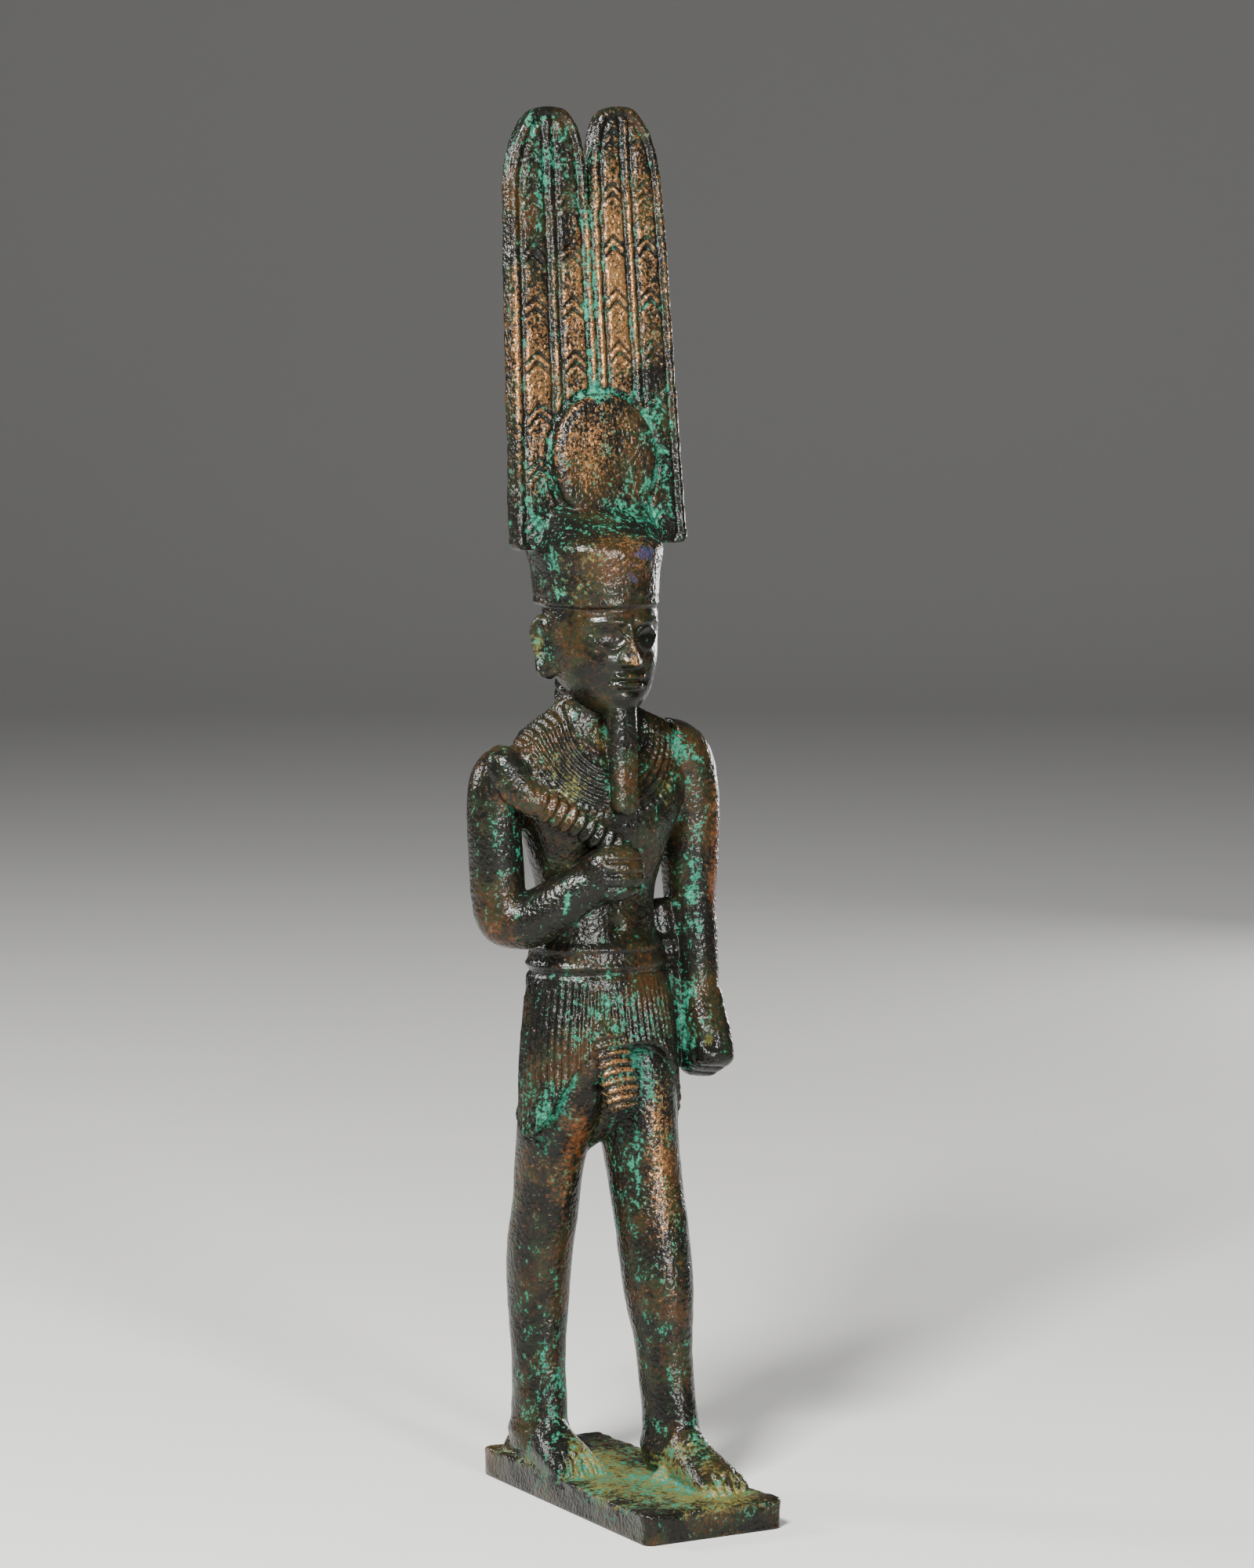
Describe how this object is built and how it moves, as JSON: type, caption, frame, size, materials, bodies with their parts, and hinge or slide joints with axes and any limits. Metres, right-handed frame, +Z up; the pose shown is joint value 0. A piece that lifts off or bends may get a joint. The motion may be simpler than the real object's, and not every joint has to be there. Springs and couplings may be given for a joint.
{
  "type": "cast bronze statue of amun-ra",
  "caption": "Small solid-cast bronze of a striding man in a pleated kilt, holding a sceptre, with a sun disc and tall two-plume crown, on its thin plate",
  "frame": {"origin": "centre of the plate's flat underside", "axes": "+Z up, the figure faces -Y, and +X is his own left"},
  "size_m": [0.0425, 0.0566, 0.2087],
  "materials": {
    "patinated_bronze": "dark brown cast bronze with golden wear on its edges and green patina in its hollows"
  },
  "bodies": {
    "root": {"amun_ra_statue": "patinated_bronze"}
  },
  "joints": []
}
